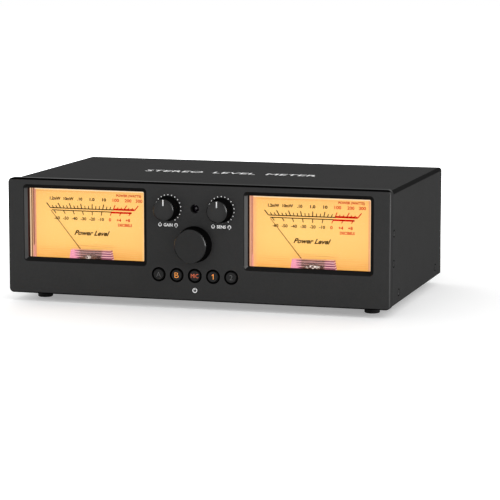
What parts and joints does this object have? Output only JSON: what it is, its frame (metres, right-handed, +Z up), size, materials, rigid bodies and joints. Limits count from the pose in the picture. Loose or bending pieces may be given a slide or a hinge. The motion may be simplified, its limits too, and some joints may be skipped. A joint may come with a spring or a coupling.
{
  "type": "stereo level meter",
  "caption": "Desktop stereo level meter: twin backlit needle dials behind bevelled windows, selector knob, small level knobs and push buttons in a matt black case.",
  "frame": {"origin": "on the surface that the feet stand on, under the middle of the whole object", "axes": "+X to the right seen from the front, +Y to the back, +Z up"},
  "size_m": [0.3, 0.199, 0.0948],
  "materials": {
    "panel_black": "fine matt black",
    "case_black": "fine matt black",
    "bar_aluminium": "plain",
    "screw_black": "black oxide",
    "screw_steel": "bright plated",
    "foot_rubber": "matt",
    "lens_clear": "clear",
    "housing_white": "white, lit from inside",
    "dial_glow": "printed, lit from behind",
    "shell_clear": "clear, ribbed",
    "lamp_board": "white board with lamps",
    "bridge_metal": "die cast",
    "yoke_iron": "dark plated",
    "core_steel": "ground",
    "coil_copper": "enamelled copper",
    "needle_brown": "dark brown",
    "arm_brass": "plain",
    "spring_bronze": "phosphor bronze",
    "knob_black": "fine matt black",
    "shaft_metal": "turned",
    "control_can": "plated",
    "button_black": "satin, lettered",
    "bezel_black": "gloss",
    "switch_black": "moulded",
    "receiver_black": "dark filter",
    "capsule_metal": "plain",
    "board_green": "solder mask",
    "socket_gold": "gold plated",
    "insulator_white": "moulded",
    "insulator_red": "moulded",
    "inlet_black": "moulded"
  },
  "bodies": {
    "case": {"front_panel": "panel_black", "top_cover": "case_black", "bottom_chassis": "case_black", "rear_panel": "case_black", "side_bars": "bar_aluminium", "cover_screws": "screw_black", "panel_screws": "screw_black", "chassis_screws": "screw_black", "foot_screws": "screw_black", "movement_screws": "screw_steel", "jewel_screws": "screw_steel", "control_nuts": "screw_steel", "board_spacers": "screw_steel", "feet": "foot_rubber", "left_lens": "lens_clear", "right_lens": "lens_clear", "left_housing": "housing_white", "right_housing": "housing_white", "left_dial_plate": "dial_glow", "right_dial_plate": "dial_glow", "left_movement_cover": "shell_clear", "right_movement_cover": "shell_clear", "left_backlight": "lamp_board", "right_backlight": "lamp_board", "left_bridges": "bridge_metal", "right_bridges": "bridge_metal", "yoke_rings": "yoke_iron", "core_magnets": "core_steel", "hairsprings": "spring_bronze", "encoder_body": "control_can", "gain_pot": "control_can", "sens_pot": "control_can", "button_bezels": "bezel_black", "tact_switches": "switch_black", "relays": "switch_black", "ir_receiver": "receiver_black", "mic_capsule": "capsule_metal", "front_board": "board_green", "main_board": "board_green", "phono_shells": "socket_gold", "white_insulators": "insulator_white", "red_insulators": "insulator_red", "power_socket": "inlet_black"},
    "left_pointer": {"left_needle": "needle_brown", "left_coil": "coil_copper"},
    "left_zero": {"left_zero_arm": "arm_brass"},
    "right_pointer": {"right_needle": "needle_brown", "right_coil": "coil_copper"},
    "right_zero": {"right_zero_arm": "arm_brass"},
    "selector": {"main_knob": "knob_black", "encoder_shaft": "shaft_metal"},
    "gain_control": {"gain_knob": "knob_black", "gain_shaft": "shaft_metal"},
    "sens_control": {"sens_knob": "knob_black", "sens_shaft": "shaft_metal"},
    "button_a_cap": {"button_a": "button_black"},
    "button_b_cap": {"button_b": "button_black"},
    "button_mic_cap": {"button_mic": "button_black"},
    "button_one_cap": {"button_one": "button_black"},
    "button_two_cap": {"button_two": "button_black"}
  },
  "joints": [
    {"name": "left_pointer_swing", "type": "hinge", "parent": "case", "child": "left_pointer", "pos_m": [-0.0877, -0.073, 0.0289], "axis": [0, 1, 0], "range_deg": [0, 78.4], "stiffness_Nm_per_rad": 0.00002, "springref_deg": -20.05},
    {"name": "left_zero_set", "type": "hinge", "parent": "case", "child": "left_zero", "pos_m": [-0.0877, -0.0562, 0.0289], "axis": [0, 1, 0], "range_deg": [-12, 12]},
    {"name": "right_pointer_swing", "type": "hinge", "parent": "case", "child": "right_pointer", "pos_m": [0.0877, -0.073, 0.0289], "axis": [0, 1, 0], "range_deg": [0, 78.4], "stiffness_Nm_per_rad": 0.00002, "springref_deg": -20.05},
    {"name": "right_zero_set", "type": "hinge", "parent": "case", "child": "right_zero", "pos_m": [0.0877, -0.0562, 0.0289], "axis": [0, 1, 0], "range_deg": [-12, 12]},
    {"name": "main_knob_turn", "type": "hinge", "parent": "case", "child": "selector", "pos_m": [0, -0.096, 0.0494], "axis": [0, 1, 0], "continuous": true},
    {"name": "gain_knob_turn", "type": "hinge", "parent": "case", "child": "gain_control", "pos_m": [-0.02085, -0.0935, 0.0758], "axis": [0, 1, 0], "range_deg": [-147, 147]},
    {"name": "sens_knob_turn", "type": "hinge", "parent": "case", "child": "sens_control", "pos_m": [0.02085, -0.0935, 0.0758], "axis": [0, 1, 0], "range_deg": [-147, 147]},
    {"name": "button_a_press", "type": "slide", "parent": "case", "child": "button_a_cap", "axis": [0, 1, 0], "range_m": [0, 0.0008], "stiffness_N_per_m": 800, "springref_m": -0.0004},
    {"name": "button_b_press", "type": "slide", "parent": "case", "child": "button_b_cap", "axis": [0, 1, 0], "range_m": [0, 0.0008], "stiffness_N_per_m": 800, "springref_m": -0.0004},
    {"name": "button_mic_press", "type": "slide", "parent": "case", "child": "button_mic_cap", "axis": [0, 1, 0], "range_m": [0, 0.0008], "stiffness_N_per_m": 800, "springref_m": -0.0004},
    {"name": "button_one_press", "type": "slide", "parent": "case", "child": "button_one_cap", "axis": [0, 1, 0], "range_m": [0, 0.0008], "stiffness_N_per_m": 800, "springref_m": -0.0004},
    {"name": "button_two_press", "type": "slide", "parent": "case", "child": "button_two_cap", "axis": [0, 1, 0], "range_m": [0, 0.0008], "stiffness_N_per_m": 800, "springref_m": -0.0004}
  ]
}
